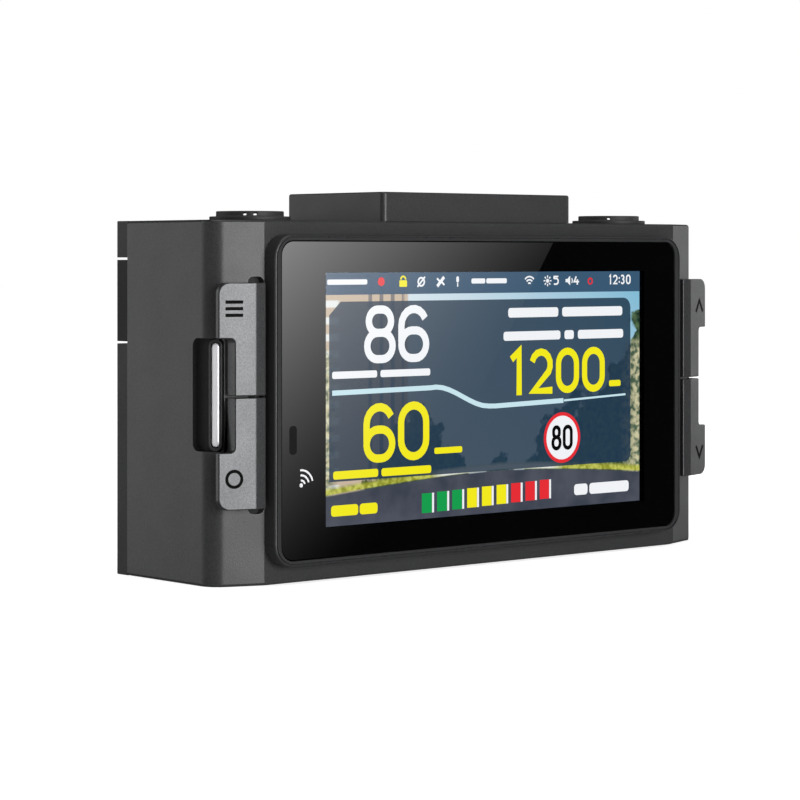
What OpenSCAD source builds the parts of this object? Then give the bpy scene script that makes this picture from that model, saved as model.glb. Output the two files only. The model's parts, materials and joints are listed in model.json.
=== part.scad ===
// In-car radar detector and recorder: a wide, low box with a screen towards the driver, button caps on
// the front corners, a dock block on top, and a lens and a sensor window towards the road.
// +X is right as seen facing the screen, +Y is towards the road, +Z is up. The origin is the middle of
// the underside. Modules are drawn with Y = 0 at the front frame, and placed() moves them.

/* [Body] */
// Width across the two side walls
body_w = 101.4; // [99:0.2:104]
// Height of the housing
body_h = 53; // [52:0.5:56]
// Depth of the front housing, from its front frame to the rear cover
housing_d = 23.3; // [23:0.1:26]
// Thickness of the rear cover
cover_t = 2.9; // [2.2:0.1:3.2]
// Thickness of the moulded walls
wall = 1.8; // [1.6:0.1:2]
// Width of the flat front frame between the two facets
frame_w = 86; // [85:0.5:87]
// Angle of the side facets behind the front frame
facet_angle = 20; // [18:1:22]
// Radius of the vertical front corners
corner_r = 3.2; // [3:0.1:3.4]

/* [Display] */
// Distance that the bezel stands out of the front frame
bezel_out = 2.5; // [2:0.1:3]
// Height of the bezel
bezel_h = 48.3; // [47.5:0.1:49]
// Height of the bezel's lower edge above the base
bezel_z = 2.6; // [2.2:0.1:3]
// Distance that the bezel stops short of the front frame's right edge
bezel_inset = 0.85; // [0:0.05:1]
// Outer corner radius of the bezel
bezel_r = 3.5; // [3:0.1:4]
// Width of the bezel's lip beside the glass
lip_side = 1.25; // [1:0.05:1.5]
// Width of the bezel's lip above and below the glass
lip_top = 0.85; // [0.7:0.05:1]
// Width of the lit screen area
screen_w = 66.4; // [64:0.1:67]
// Height of the lit screen area
screen_h = 37.4; // [36:0.1:38]
// Height of the screen's middle above the base
screen_z = 26.85; // [26.5:0.05:27.2]

/* [Buttons] */
// Distance that the button caps stand in front of the front frame
cap_out = 1.5; // [1.2:0.1:1.7]
// Gap between a cap and the bezel
cap_gap = 0.85; // [0.75:0.05:1.3]
// Width of the strip on each cap that faces the driver
cap_strip = 1.8; // [1.5:0.1:2]
// Width of the sloping face of each cap
cap_face = 5.7; // [5.4:0.1:6]
// Angle of the sloping face of each cap
cap_angle = 17.4; // [15:0.1:19]
// Lowest point of the lower caps above the base
cap_z0 = 11.3; // [11:0.1:12]
// Highest point of the upper caps above the base
cap_z1 = 43.9; // [43:0.1:44.5]
// Height of the gap between the upper and the lower cap
cap_split_z = 27.5; // [27:0.1:28]
// Travel of the caps and keys
travel = 0.4; // [0.3:0.05:0.45]
// Angle at which the middle keys face, from straight ahead
key_angle = 45; // [40:1:50]
// Length of the middle keys
key_len = 15; // [13:0.5:15]
// Width of the middle keys
key_w = 1.15; // [1:0.05:1.3]

/* [Top] */
// Width of the dock block
dock_w = 39.6; // [34:0.1:42]
// Depth of the dock block
dock_d = 23.2; // [20:0.1:23.6]
// Height of the dock block above the housing
dock_h = 4.45; // [3.5:0.05:6]
// Distance of the two round caps from the middle
plug_x = 37.9; // [34:0.1:40]
// Distance of the two round caps behind the front frame
plug_y = 9.95; // [9:0.05:14]

/* [Rear] */
// Distance that the lens trim stands out of the rear cover
lens_out = 3; // [2:0.1:5]
// Outer radius of the lens trim
lens_r = 11.5; // [10.5:0.1:12.5]
// Position of the lens to the right of the middle
lens_x = 27; // [25:0.5:29]
// Height of the lens axis above the base
lens_z = 29; // [28:0.5:31]
// Lower edge of the sensor window above the base
window_z0 = 34.8; // [34:0.1:36]
// Upper edge of the sensor window above the base
window_z1 = 47.35; // [46:0.05:47.5]
// Width of the open slits above and below the sensor window
window_gap = 0.35; // [0.25:0.05:0.45]

/* [Hidden] */
$fn = 64;
eps = 0.01;

// Plan of the body: where the facets start and where the corner arcs have their centres
side_x = body_w / 2;
corner_x = side_x - corner_r;
corner_y = (corner_x - frame_w / 2) * tan(facet_angle) + corner_r / cos(facet_angle);
rear_y = housing_d + cover_t;
rear_r = 0.4;
// Middle of the whole depth, from the bezel's face to the lens trim
middle_y = (rear_y + lens_out - bezel_out) / 2;

// Display stack, measured from the front frame
bezel_x0 = -frame_w / 2;
bezel_x1 = frame_w / 2 - bezel_inset;
glass_t = 1.1;
glass_set_back = 0.2;
glass_back_y = -bezel_out + glass_set_back + glass_t;
panel_t = 1.8;
backlight_t = 1.8;
bezel_end_y = glass_back_y + panel_t + backlight_t;
bracket_t = 0.6;
panel_w = screen_w + 4.6;
panel_h = screen_h + 5;
spigot_t = 1.3;
post_x = 40.5;
post_z = [6.5, 46.5];
sensor_x = -39.5;
sensor_z = 21;
sensor_w = 1.4;
sensor_len = 4.2;

// Button caps
cap_x0 = frame_w / 2 + cap_gap;
cap_x1 = cap_x0 + cap_strip;
cap_x2 = cap_x1 + cap_face * cos(cap_angle);
cap_y2 = -cap_out + cap_face * sin(cap_angle);
cap_edge = 0.8;
cap_under = travel + 0.15;
cap_split = 0.3;
cap_r = 1.6;
stem_r = 1.3;
stem_gap = 0.3;
stem_x = 46.6;

// Middle keys, their recess and their raised surround
recess_x = 48.7;
recess_y = 7;
recess_depth = 1;
surround_w = 2;
surround_len = key_len + 1.2;
surround_top = corner_r + 0.05;
surround_seat = corner_r - recess_depth - 0.3;
key_z = (cap_z0 + cap_z1) / 2 + 0.1;
key_gap = 0.15;
key_top = corner_r - 0.05;
key_flange_top = corner_r - wall - 0.65;
recess_z0 = key_z - surround_len / 2 - 0.1;
recess_z1 = key_z + surround_len / 2 + 0.1;

// Boards
board_y = 8;
board_t = 1.6;
side_board_t = 1;
switch_tip_y = 5.9;
switch_body_y = 6.4;
// A stem ends just short of its switch, with the travel and a little more to spare
stem_top_y = -cap_out + (stem_x - cap_x1) * tan(cap_angle);
stem_len = (switch_tip_y - travel - 0.15 - stem_top_y) / cos(cap_angle) - 0.4;
stem_tip_x = stem_x - stem_len * sin(cap_angle);

// Fastenings
boss_r = 2.4;
boss_x = side_x - wall - 2.1;
boss_z = [3.4, body_h - 3];
boss_y = [11, 21.2];
screw_r = 0.8;
screw_bore_r = 0.85;
screw_head_r = 1.5;
screw_head_t = 1.2;

// Front of the dock block, and its two magnets and screws
dock_y0 = 0.6;
dock_r = 0.8;
magnet_x = 13;
magnet_y = plug_y + 2;
magnet_r = 3.5;

// Round caps on the top
plug_r = 3;
plug_flange_r = 6.05;
plug_disc_r = 5.05;

// Card and power sockets in the right side wall
card_y = 10.3;
card_t = 0.7;
card_w = 11;
card_len = 15;
card_z = 35.5;
card_end_x = side_x + 0.4;
usb_z = 19;
usb_y = 12;
usb_w = 8.9;
usb_t = 3.2;

// Sensor window, from the left side towards the middle
window_x = 4;
window_flange_t = 0.9;

// Lens barrel and its front element
barrel_r = 7.2;
lens_glass_r = 5.5;

// Speaker grille in the rear cover
grille_x = -3;
grille_z = 17;
grille_r = 8;
grille_pitch = 2;
grille_slot = 0.9;

// Radar horn, and the laser receiver above it
horn_x = -29;
horn_z = 18;
laser_z = 41;

// Antenna and supercapacitors behind the main board
gps_x = 25;
gps_w = 18;
tank_x = 14;
tank_len = 24;
tank_r = 2.9;
tank_z = 8.6;

// Microphone on the floor of the housing
mic_x = -20;
mic_y = 12;

function arc(cx, cy, r, a0, a1, n = 8) =
    [for (i = [0:n]) let (a = a0 + (a1 - a0) * i / n) [cx + r * cos(a), cy + r * sin(a)]];

// Right half of the body's plan, set in by t, with its back at y
function half_plan(t, y) = concat(
    [[frame_w / 2 - t * tan(facet_angle / 2), t]],
    arc(corner_x, corner_y, corner_r - t, facet_angle - 90, 0, 12),
    [[side_x - t, y]]
);
function both_halves(half) =
    concat(half, [for (i = [len(half) - 1:-1:0]) [-half[i][0], half[i][1]]]);
function rounded(x0, y0, x1, y1, r) = concat(
    arc(x0 + r, y0 + r, r, 180, 270), arc(x1 - r, y0 + r, r, 270, 360),
    arc(x1 - r, y1 - r, r, 0, 90), arc(x0 + r, y1 - r, r, 90, 180)
);

module placed() { translate([0, -middle_y, 0]) children(); }
module side(s) { if (s > 0) children(); else mirror([1, 0, 0]) children(); }
module along_y(y0, y1) { translate([0, y1, 0]) rotate([90, 0, 0]) linear_extrude(y1 - y0) children(); }
module along_x(x0, x1) { translate([x0, 0, 0]) rotate([90, 0, 90]) linear_extrude(x1 - x0) children(); }
module along_z(z0, z1) { translate([0, 0, z0]) linear_extrude(z1 - z0) children(); }
module box(x0, x1, y0, y1, z0, z1) { translate([x0, y0, z0]) cube([x1 - x0, y1 - y0, z1 - z0]); }
module rod_y(x, z, r, y0, y1) { translate([x, y0, z]) rotate([-90, 0, 0]) cylinder(r = r, h = y1 - y0); }
module stadium(w, len) {
    hull_r = w / 2;
    polygon(concat(arc(0, len / 2 - hull_r, hull_r, 0, 180), arc(0, hull_r - len / 2, hull_r, 180, 360)));
}
// Axes at the right front corner: X runs round the corner, Y is up and Z points out
module key_frame() { translate([corner_x, corner_y, key_z]) rotate([90, 0, key_angle]) children(); }
// Axes on the right cap's sloping face, at height z: Z points out
module cap_frame(x, z) {
    translate([x, -cap_out + (x - cap_x1) * tan(cap_angle), z]) rotate([90, 0, cap_angle]) children();
}

// ---- Housing ----

module key_recess() {
    difference() {
        intersection() {
            along_y(-5, 9) polygon(rounded(recess_x, recess_z0, side_x + 5, recess_z1, 0.7));
            along_x(40, side_x + 5) polygon(rounded(-9, recess_z0, recess_y, recess_z1, 1.2));
        }
        along_z(0, body_h) polygon(both_halves(half_plan(recess_depth, housing_d)));
    }
    key_frame() translate([0, 0, surround_seat]) linear_extrude(3) stadium(surround_w, surround_len);
    key_frame() translate([0, 0, -1]) linear_extrude(5) stadium(key_w + 2 * key_gap, key_len + 2 * key_gap);
}

// Trough beside the bezel that the caps' inner edges sink into
module cap_trough() {
    along_y(-5, 1.15)
        polygon(rounded(frame_w / 2 + 0.05, cap_z0 - 0.9, cap_x1 - 0.3, cap_z1 + 0.9, 0.8));
}

module front_housing() {
    color("#4a4b4d") placed() difference() {
        union() {
            difference() {
                along_z(0, body_h) polygon(both_halves(half_plan(0, housing_d)));
                along_z(wall, body_h - wall) polygon(both_halves(half_plan(wall, housing_d + 1)));
            }
            for (s = [-1, 1]) side(s) for (z = boss_z) rod_y(boss_x, z, boss_r, boss_y[0], boss_y[1]);
            for (s = [-1, 1]) side(s) for (z = post_z) rod_y(post_x, z, 1.5, wall - 0.5, bezel_end_y);
        }
        along_y(-1, wall + 1) polygon(rounded(
            -panel_w / 2 - spigot_t - 0.1, screen_z - panel_h / 2 - spigot_t - 0.1,
            panel_w / 2 + spigot_t + 0.1, screen_z + panel_h / 2 + spigot_t + 0.1, 1));
        for (s = [-1, 1]) side(s) {
            key_recess();
            cap_trough();
            for (z = [stem_z(1), stem_z(-1)]) cap_frame(stem_x, z) translate([0, 0, -6])
                cylinder(r = stem_r + stem_gap, h = 8);
            for (z = boss_z) rod_y(boss_x, z, screw_bore_r, 13, 25);
            for (z = post_z) rod_y(post_x, z, 0.65, 1, bezel_end_y + 1);
        }
        box(side_x - wall - 1, side_x + 1, card_y - card_t / 2 - 0.25, card_y + card_t / 2 + 0.25,
            card_z - card_w / 2 - 0.25, card_z + card_w / 2 + 0.25);
        along_x(side_x - wall - 1, side_x + 1) translate([usb_y, usb_z])
            stadium(usb_t + 0.5, usb_w + 0.5);
        for (s = [-1, 1]) side(s) {
            translate([magnet_x, magnet_y, body_h - 3]) cylinder(r = 1.1, h = 4);
            translate([plug_x, plug_y, body_h - 1]) cylinder(r = plug_r + 0.1, h = 2);
        }
        translate([mic_x, mic_y, -1]) cylinder(r = 0.5, h = 3);
        sensor_space();
    }
}

module rear_outline() {
    polygon(concat(
        [[side_x, housing_d]], arc(side_x - rear_r, rear_y - rear_r, rear_r, 0, 90, 4),
        arc(-side_x + rear_r, rear_y - rear_r, rear_r, 90, 180, 4), [[-side_x, housing_d]]
    ));
}

module rear_cover() {
    lip_t = 1.1;
    lip_x = side_x - wall - 0.1;
    color("#3c3d3f") placed() difference() {
        union() {
            along_z(0, body_h) rear_outline();
            along_y(housing_d - 1.6, housing_d + eps) difference() {
                polygon(rounded(-lip_x, wall + 0.1, lip_x, body_h - wall - 0.1, 0.5));
                polygon(rounded(-lip_x + lip_t, wall + 0.1 + lip_t, lip_x - lip_t,
                    body_h - wall - 0.1 - lip_t, 0.5));
            }
        }
        box(-side_x - 1, window_x + window_gap, housing_d - 2, rear_y + 1,
            window_z0 - window_gap / 2, window_z1 + window_gap / 2);
        rod_y(lens_x, lens_z, lens_r - 1.5, housing_d - 1, rear_y + 1);
        for (s = [-1, 1]) side(s) for (z = boss_z) {
            rod_y(boss_x, z, screw_bore_r + 0.15, housing_d - 3, rear_y + 1);
            rod_y(boss_x, z, screw_head_r + 0.15, rear_y - screw_head_t - 0.1, rear_y + 1);
            rod_y(boss_x, z, boss_r + 0.2, boss_y[0], housing_d);
        }
        for (i = [-3:3]) let (half = sqrt(grille_r * grille_r - pow(i * grille_pitch, 2)))
            along_y(housing_d - 1, rear_y + 1) translate([grille_x, grille_z + i * grille_pitch])
                rotate(90) stadium(grille_slot, 2 * half);
    }
}

// Dark window over the laser receiver: it wraps round the left rear corner and is held by a flange inside
module sensor_window() {
    z0 = window_z0 + window_gap / 2;
    z1 = window_z1 - window_gap / 2;
    color("#151517") placed() {
        difference() {
            intersection() {
                along_z(z0, z1) rear_outline();
                box(-side_x - 1, window_x, housing_d + 0.05, rear_y + 1, z0 - 1, z1 + 1);
            }
            box(-side_x + 3, window_x - 2, housing_d - 1, housing_d + 1.2, z0 + 1, z1 - 1);
        }
        difference() {
            box(-side_x + 4.6, window_x + 1.4, housing_d - window_flange_t, housing_d - 0.02,
                z0 - 1.2, z1 + 1.2);
            box(-side_x + 7, window_x - 2, housing_d - 2, housing_d + 1, z0 + 1, z1 - 1);
        }
        box(-side_x + 4.6, -side_x + 7, housing_d - 0.03, housing_d + 0.1, z0 + 0.1, z1 - 0.1);
    }
}

module case_screws() {
    color("#2c2c2e") placed() for (s = [-1, 1]) side(s) for (z = boss_z) difference() {
        union() {
            rod_y(boss_x, z, screw_head_r, rear_y - screw_head_t, rear_y - 0.1);
            rod_y(boss_x, z, screw_r, 15, rear_y - screw_head_t + eps);
        }
        for (a = [0, 90]) translate([boss_x, rear_y, z]) rotate([0, a, 0]) cube([1.8, 1.2, 0.4], center = true);
    }
}

// ---- Display ----

module display_bezel() {
    z1 = bezel_z + bezel_h;
    color("#2f3032") placed() difference() {
        union() {
            along_y(-bezel_out, -0.05) polygon(rounded(bezel_x0, bezel_z, bezel_x1, z1, bezel_r));
            along_y(-0.1, bezel_end_y) polygon(rounded(
                -panel_w / 2 - spigot_t, screen_z - panel_h / 2 - spigot_t,
                panel_w / 2 + spigot_t, screen_z + panel_h / 2 + spigot_t, 1));
        }
        along_y(-bezel_out - 1, glass_back_y) polygon(rounded(
            bezel_x0 + lip_side, bezel_z + lip_top, bezel_x1 - lip_side, z1 - lip_top, bezel_r - lip_side));
        along_y(-2, bezel_end_y + 1) polygon(rounded(
            -panel_w / 2 - 0.1, screen_z - panel_h / 2 - 0.1,
            panel_w / 2 + 0.1, screen_z + panel_h / 2 + 0.1, 0.2));
        sensor_space();
    }
}

module cover_glass() {
    gap = 0.08;
    color("#08090b") placed() along_y(-bezel_out + glass_set_back, glass_back_y) polygon(rounded(
        bezel_x0 + lip_side + gap, bezel_z + lip_top + gap,
        bezel_x1 - lip_side - gap, bezel_z + bezel_h - lip_top - gap, bezel_r - lip_side - gap));
}

module lcd_panel() {
    color("#1b2a3c") placed() box(-panel_w / 2, panel_w / 2, glass_back_y + 0.02, glass_back_y + panel_t,
        screen_z - panel_h / 2, screen_z + panel_h / 2);
}

module backlight() {
    y0 = glass_back_y + panel_t + 0.02;
    color("#e8e8e2") placed() difference() {
        box(-panel_w / 2, panel_w / 2, y0, bezel_end_y - 0.05, screen_z - panel_h / 2, screen_z + panel_h / 2);
        box(-9, 9, bezel_end_y - 0.6, bezel_end_y + 1, screen_z - panel_h / 2 - 1, screen_z - panel_h / 2 + 2);
    }
}

module lcd_bracket() {
    y0 = bezel_end_y + 0.02;
    color("#9c9ea0") placed() difference() {
        along_y(y0, y0 + bracket_t) polygon(rounded(-42, 5, 42, body_h - 5, 1.5));
        for (s = [-1, 1]) side(s) {
            for (z = post_z) rod_y(post_x, z, 0.8, y0 - 1, y0 + 2);
            along_y(y0 - 1, y0 + 2) polygon(rounded(12, 14, 30, 40, 2));
        }
        box(-9, 9, y0 - 1, y0 + 2, 4, 8.5);
    }
}

module bracket_screws() {
    y0 = bezel_end_y + bracket_t + 0.03;
    color("#b5b7b8") placed() for (s = [-1, 1]) side(s) for (z = post_z) {
        rod_y(post_x, z, 1.3, y0, y0 + 0.8);
        rod_y(post_x, z, 0.6, 1.6, y0 + eps);
    }
}

// Flat cable from the backlight's lower edge to the main board
module display_flex() {
    t = 0.15;
    y0 = bezel_end_y - 0.55;
    color("#b9772c") placed() along_x(-8, 8) polygon([
        [y0, 7], [y0 + t, 7], [y0 + t, 6.4], [board_y - t - 0.02, 6.4], [board_y - t - 0.02, 12],
        [board_y - 0.02, 12], [board_y - 0.02, 6.4 - t], [y0, 6.4 - t]
    ]);
}

module gesture_sensor() {
    color("#4b1f1f") placed() box(sensor_x - sensor_w / 2, sensor_x + sensor_w / 2,
        glass_back_y + 0.02, wall, sensor_z - sensor_len / 2, sensor_z + sensor_len / 2);
}

// Slot through the bezel and the front wall that the gesture sensor stands in
module sensor_space() {
    box(sensor_x - sensor_w / 2 - 0.1, sensor_x + sensor_w / 2 + 0.1, glass_back_y - eps, wall + 1,
        sensor_z - sensor_len / 2 - 0.1, sensor_z + sensor_len / 2 + 0.1);
}

// ---- Buttons and keys ----

function stem_z(up) = cap_split_z + up * 11.2;

// One cap for the right side: up is 1 for the upper cap and -1 for the lower
module cap(up) {
    z_inner = cap_split_z + up * cap_split / 2;
    z_outer = up > 0 ? cap_z1 : cap_z0;
    z0 = min(z_inner, z_outer);
    z1 = max(z_inner, z_outer);
    facet_y = function (x) (x - frame_w / 2) * tan(facet_angle) - cap_under / cos(facet_angle);
    difference() {
        intersection() {
            along_z(z0, z1) polygon([
                [cap_x0, -cap_out], [cap_x1, -cap_out], [cap_x2, cap_y2], [cap_x2, cap_y2 + cap_edge],
                [corner_x + 1, facet_y(corner_x + 1)], [cap_x0, facet_y(cap_x0)]
            ]);
            along_y(-5, 8) polygon(up > 0
                ? concat([[cap_x0, z0], [cap_x2, z0]], arc(cap_x2 - cap_r, z1 - cap_r, cap_r, 0, 90),
                    [[cap_x0, z1]])
                : concat([[cap_x0, z0]], arc(cap_x2 - cap_r, z0 + cap_r, cap_r, 270, 360),
                    [[cap_x2, z1], [cap_x0, z1]]));
        }
        along_y(-5, 8) polygon(rounded(recess_x, recess_z0, cap_x2 + 5, recess_z1, 0.7));
    }
    cap_frame(stem_x, stem_z(up)) translate([0, 0, -stem_len]) cylinder(r = stem_r, h = stem_len - 1);
}
module up_button() { color("#77787a") placed() cap(1); }
module down_button() { color("#77787a") placed() cap(-1); }
module menu_button() { color("#88898b") placed() side(-1) cap(1); }
module ok_button() { color("#88898b") placed() side(-1) cap(-1); }

// Bright bar with a flange inside the wall that keeps it from falling out
module key() {
    key_frame() {
        translate([0, 0, 0.1]) linear_extrude(key_top - 0.1) stadium(key_w, key_len);
        translate([0, 0, 0.1]) linear_extrude(key_flange_top - 0.1) stadium(key_w + 0.9, key_len + 0.9);
    }
}
module power_key() { color("#d9dadc") placed() side(-1) key(); }
module record_key() { color("#d9dadc") placed() key(); }

module surround() {
    key_frame() difference() {
        translate([0, 0, surround_seat + 0.02]) linear_extrude(surround_top - surround_seat - 0.02)
            stadium(surround_w - 0.04, surround_len - 0.04);
        linear_extrude(5) stadium(key_w + 2 * key_gap, key_len + 2 * key_gap);
    }
}
module power_key_surround() { color("#37383a") placed() side(-1) surround(); }
module record_key_surround() { color("#37383a") placed() surround(); }

module button_board() { box(40, 47.8, board_y, board_y + side_board_t, 7, 46); }
module left_button_board() { color("#1f5a35") placed() side(-1) button_board(); }
module right_button_board() { color("#1f5a35") placed() button_board(); }

// Two switches under the caps and an angled one under the middle key
module switches() {
    for (up = [-1, 1]) {
        box(stem_tip_x - 1.7, stem_tip_x + 1.7, switch_body_y, board_y - 0.02,
            stem_z(up) - 1.7, stem_z(up) + 1.7);
        rod_y(stem_tip_x, stem_z(up), 0.7, switch_tip_y, switch_body_y + eps);
    }
    key_frame() {
        translate([-1, -2, -1.9]) cube([2, 4, 1.2]);
        translate([-0.5, -1, -0.9]) cube([1, 2, 0.9 - travel + 0.02]);
    }
    along_z(key_z - 2, key_z + 2)
        polygon([[44.4, board_y - 0.02], [46.4, board_y - 0.02], [46.9, 7.1], [45.5, 5.7]]);
}
module left_switches() { color("#c9cacc") placed() side(-1) switches(); }
module right_switches() { color("#c9cacc") placed() switches(); }

// ---- Boards and modules inside ----

module main_board() {
    color("#1f5a35") placed() difference() {
        box(-39.6, 39.6, board_y, board_y + board_t, 4, body_h - 4);
        for (s = [-1, 1]) side(s) for (z = [8, body_h - 8]) rod_y(36, z, 1.2, board_y - 1, board_y + 3);
    }
}

module heat_sink() {
    y0 = board_y - 3.2;
    color("#8d9092") placed() difference() {
        box(-20, -4, y0, board_y - 0.02, 22, 38);
        for (i = [0:4]) box(-18.6 + i * 2.8, -17.2 + i * 2.8, y0 - 1, y0 + 2, 21, 39);
    }
}

module wifi_module() {
    color("#b9bbbd") placed() box(10, 24, board_y - 2.2, board_y - 0.02, 34, 44);
}

module radar_horn() {
    mouth_w = 30;
    mouth_h = 24;
    throat = 10;
    back = 14;
    mouth = housing_d - 1.8;
    edge = 0.5;
    t = 0.8;
    color("#a7a9ab") placed() translate([horn_x, 0, horn_z]) difference() {
        hull() {
            box(-mouth_w / 2, mouth_w / 2, mouth - edge, mouth, -mouth_h / 2, mouth_h / 2);
            box(-throat / 2, throat / 2, back, back + edge, -throat / 2, throat / 2);
        }
        hull() {
            box(t - mouth_w / 2, mouth_w / 2 - t, mouth - edge, mouth + edge, t - mouth_h / 2, mouth_h / 2 - t);
            box(t - throat / 2, throat / 2 - t, back + t, back + t + edge, t - throat / 2, throat / 2 - t);
        }
    }
}

module radar_module() {
    color("#c2c4c5") placed() box(horn_x - 9, horn_x + 9,
        board_y + board_t + 0.02, 13.9, horn_z - 9, horn_z + 9);
}

module laser_receiver() {
    color("#3a1416") placed() {
        box(horn_x - 15, horn_x + 15, 14, 19, laser_z - 4.5, laser_z + 4.5);
        for (x = [-10, 0, 10]) rod_y(horn_x + x, laser_z, 3.4, 18.9, 21.6);
    }
}

module lens_barrel() {
    color("#1a1a1b") placed() difference() {
        union() {
            rod_y(lens_x, lens_z, barrel_r, 15, rear_y + 1.2);
            rod_y(lens_x, lens_z, barrel_r + 1.4, 13.2, 18);
        }
        rod_y(lens_x, lens_z, lens_glass_r + 0.1, rear_y - 1.4, rear_y + 2);
    }
}

// Front element: a round glass with a domed outer face
module lens_glass() {
    dome_r = 9;
    y_seat = rear_y - 1.38;
    color("#1c2436") placed() translate([lens_x, y_seat, lens_z]) rotate([-90, 0, 0]) rotate_extrude() polygon(
        concat([[0, 0], [lens_glass_r, 0]],
            [for (i = [0:8]) let (a = asin(lens_glass_r / dome_r) * (1 - i / 8))
                [dome_r * sin(a), 1 + dome_r * cos(a) - sqrt(dome_r * dome_r - lens_glass_r * lens_glass_r)]]));
}

module lens_ring() {
    color("#2a2b2d") placed() translate([lens_x, 0, lens_z]) rotate([-90, 0, 0]) rotate_extrude() polygon([
        [lens_r - 1.7, housing_d + 0.3], [lens_r - 1.7, rear_y + 0.02], [lens_r, rear_y + 0.02],
        [lens_r, rear_y + lens_out - 0.6], [lens_r - 0.6, rear_y + lens_out],
        [lens_r - 1.8, rear_y + lens_out], [barrel_r + 0.2, rear_y + 0.9], [barrel_r + 0.2, housing_d + 0.3]
    ]);
}

module camera_board() {
    color("#1f5a35") placed() {
        box(lens_x - 10, lens_x + 10, 11.6, 12.6, lens_z - 8.5, lens_z + 8.5);
        box(lens_x - 4, lens_x + 4, 12.6 - eps, 13.18, lens_z - 4, lens_z + 4);
    }
}

module speaker() {
    color("#26262a") placed() translate([grille_x, 0, grille_z]) rotate([-90, 0, 0]) rotate_extrude() polygon([
        [0, 14], [5, 14], [5, 17], [9, 19.5], [9, housing_d - 1.7], [8, housing_d - 1.7], [6.4, 20.6],
        [2.4, 19.4], [0, 20.6]
    ]);
}

module microphone() { color("#9fa1a3") placed() translate([mic_x, mic_y, wall + 0.02])
    cylinder(r = 2, h = 1.6); }

module gps_antenna() {
    color("#c9b089") placed() {
        box(gps_x - gps_w / 2, gps_x + gps_w / 2, 11.5, 21, 45.2, 48.7);
        box(gps_x - gps_w / 2 + 2, gps_x + gps_w / 2 - 2, 12.6, 19.9, 48.7 - eps, 48.9);
    }
}

module supercapacitors() {
    color("#232a55") placed() for (y = [13.2, 19.4]) translate([tank_x, y, tank_z])
        rotate([0, 90, 0]) cylinder(r = tank_r, h = tank_len);
}

module card_socket() {
    x0 = card_end_x - card_len - 1.4;
    color("#b9bbbd") placed() difference() {
        box(x0, side_x - wall - 0.1, board_y + board_t + 0.02, card_y + 1, card_z - 6.5, card_z + 6.5);
        box(x0 + 0.4, side_x, card_y - card_t / 2 - 0.1, card_y + card_t / 2 + 0.1,
            card_z - card_w / 2 - 0.1, card_z + card_w / 2 + 0.1);
    }
}

module memory_card() {
    color("#1c1c1f") placed() along_y(card_y - card_t / 2, card_y + card_t / 2) polygon([
        [card_end_x - card_len, card_z - card_w / 2], [card_end_x - 0.5, card_z - card_w / 2],
        [card_end_x, card_z - card_w / 2 + 0.5], [card_end_x, card_z + card_w / 2 - 0.5],
        [card_end_x - 0.5, card_z + card_w / 2], [card_end_x - 7, card_z + card_w / 2],
        [card_end_x - 8, card_z + card_w / 2 - 1], [card_end_x - card_len, card_z + card_w / 2 - 1]
    ]);
}

module usb_socket() {
    color("#b9bbbd") placed() {
        difference() {
            along_x(side_x - 8.2, side_x - 0.5) translate([usb_y, usb_z]) stadium(usb_t, usb_w);
            along_x(side_x - 7.6, side_x + 1) translate([usb_y, usb_z]) stadium(usb_t - 0.6, usb_w - 0.6);
        }
        along_x(side_x - 7.7, side_x - 1.6) translate([usb_y, usb_z]) square([0.7, 6.4], center = true);
    }
}

// ---- Top ----

module dock_block() {
    color("#47484a") placed() difference() {
        along_z(body_h + 0.02, body_h + dock_h)
            polygon(rounded(-dock_w / 2, dock_y0, dock_w / 2, dock_y0 + dock_d, dock_r));
        along_z(body_h + dock_h - 0.6, body_h + dock_h + 1)
            polygon(rounded(-7, dock_y0 + 6.5, 7, dock_y0 + dock_d - 7.5, 1));
        for (s = [-1, 1]) side(s) {
            translate([magnet_x, magnet_y, body_h + dock_h - 1.6]) cylinder(r = magnet_r + 0.05, h = 3);
            translate([magnet_x, magnet_y, body_h - 1]) cylinder(r = screw_bore_r, h = 3.2);
        }
    }
}

module dock_magnets() {
    color("#c6c8ca") placed() for (s = [-1, 1]) side(s)
        translate([magnet_x, magnet_y, body_h + dock_h - 1.58]) cylinder(r = magnet_r, h = 1.48);
}

module dock_contacts() {
    color("#d5b25a") placed() for (i = [-2:2])
        translate([i * 2.6, dock_y0 + dock_d / 2 - 0.5, body_h + dock_h - 0.58]) cylinder(r = 0.8, h = 0.4);
}

module dock_screws() {
    color("#b5b7b8") placed() for (s = [-1, 1]) side(s) translate([magnet_x, magnet_y, 0]) {
        translate([0, 0, body_h - wall - 1.1]) cylinder(r = 1.8, h = 1);
        translate([0, 0, body_h - wall - 0.2]) cylinder(r = screw_r, h = wall + 2);
    }
}

// Round cap on the housing's top: a flange, a disc and a plug below, with narrow tunnels through the disc
module top_cap(offsets, angle) {
    translate([0, 0, body_h - 0.9]) cylinder(r = plug_r, h = 1);
    translate([0, 0, body_h + 0.02]) cylinder(r = plug_flange_r, h = 0.6);
    difference() {
        translate([0, 0, body_h + 0.5]) cylinder(r = plug_disc_r, h = 0.9);
        rotate(-angle) for (x = offsets) translate([x - 0.25, -7, body_h + 0.75]) cube([0.5, 14, 0.4]);
    }
}
module top_cap_left() { color("#2b2c2e") placed() translate([-plug_x, plug_y, 0]) top_cap([-0.75, 0.75], 38); }
module top_cap_right() { color("#2b2c2e") placed() translate([plug_x, plug_y, 0]) top_cap([0], 45); }

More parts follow.
